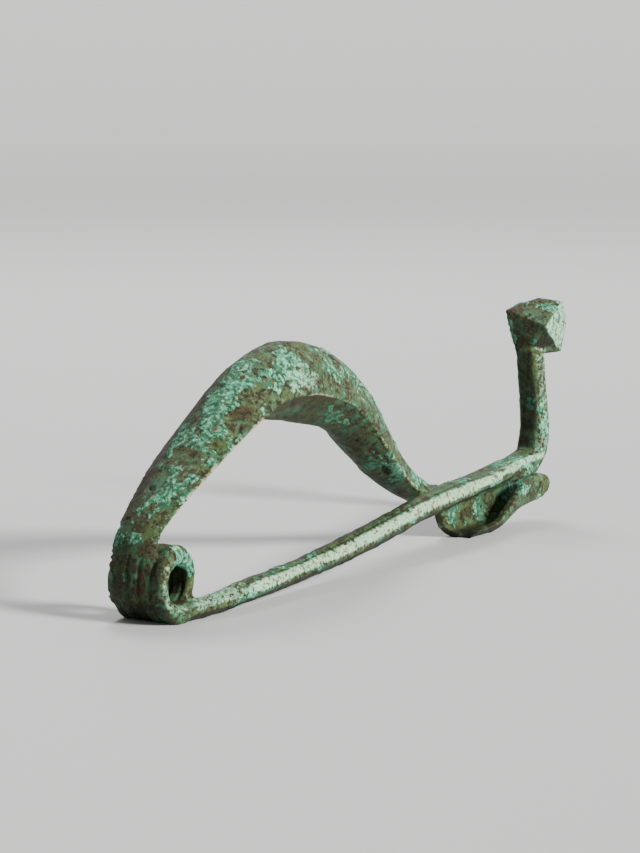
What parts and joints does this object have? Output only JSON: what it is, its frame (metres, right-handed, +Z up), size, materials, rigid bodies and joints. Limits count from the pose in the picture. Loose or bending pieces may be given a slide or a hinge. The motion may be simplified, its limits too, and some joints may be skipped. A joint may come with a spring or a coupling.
{
  "type": "fibula brooch",
  "caption": "Ancient bronze bow brooch: swelling arched bow, coiled spring, straight pin, catchplate and an upturned foot with a faceted knob.",
  "frame": {"origin": "middle of the bounding box's underside, on the ground it stands on", "axes": "+X from the spring coil to the upturned foot, +Z up, -Y towards the pin's side"},
  "size_m": [0.0764, 0.009, 0.0237],
  "materials": {
    "bronze": "mottled green and turquoise patina over dark brown bronze, rough and pitted, edges worn pale"
  },
  "bodies": {
    "root": {"fibula": "bronze"}
  },
  "joints": []
}
